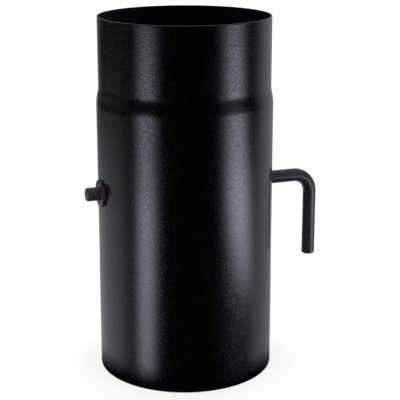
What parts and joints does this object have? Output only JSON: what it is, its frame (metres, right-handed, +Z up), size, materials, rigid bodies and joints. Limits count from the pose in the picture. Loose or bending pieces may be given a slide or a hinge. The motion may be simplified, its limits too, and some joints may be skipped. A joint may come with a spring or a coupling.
{
  "type": "stove pipe damper",
  "caption": "Short black flue pipe with a swaged spigot and plain socket, and a vented round blade inside that turns on a spindle bent down into a handle.",
  "frame": {"origin": "on the pipe's axis, in the plane of the socket's rim that it stands on", "axes": "+Z up the pipe towards the spigot, +X along the spindle towards the handle, -Y towards the viewer of the picture"},
  "size_m": [0.1737, 0.1228, 0.25],
  "materials": {
    "pipe_paint": "fine-textured satin black heat-resistant paint",
    "bush_paint": "satin black heat-resistant paint",
    "spindle_paint": "satin black heat-resistant paint",
    "blade_steel": "dull black paint over sheet steel",
    "fastener_steel": "plain steel, dulled"
  },
  "bodies": {
    "pipe": {"pipe": "pipe_paint", "bush_left": "bush_paint", "bush_right": "bush_paint"},
    "damper": {"spindle": "spindle_paint", "blade": "blade_steel", "bolt_left": "fastener_steel", "bolt_right": "fastener_steel", "lock_washer_left": "fastener_steel", "lock_washer_right": "fastener_steel", "nut_left": "fastener_steel", "nut_right": "fastener_steel"}
  },
  "joints": [
    {"name": "damper_turn", "type": "hinge", "parent": "pipe", "child": "damper", "pos_m": [0, 0, 0.13], "axis": [1, 0, 0], "continuous": true}
  ]
}
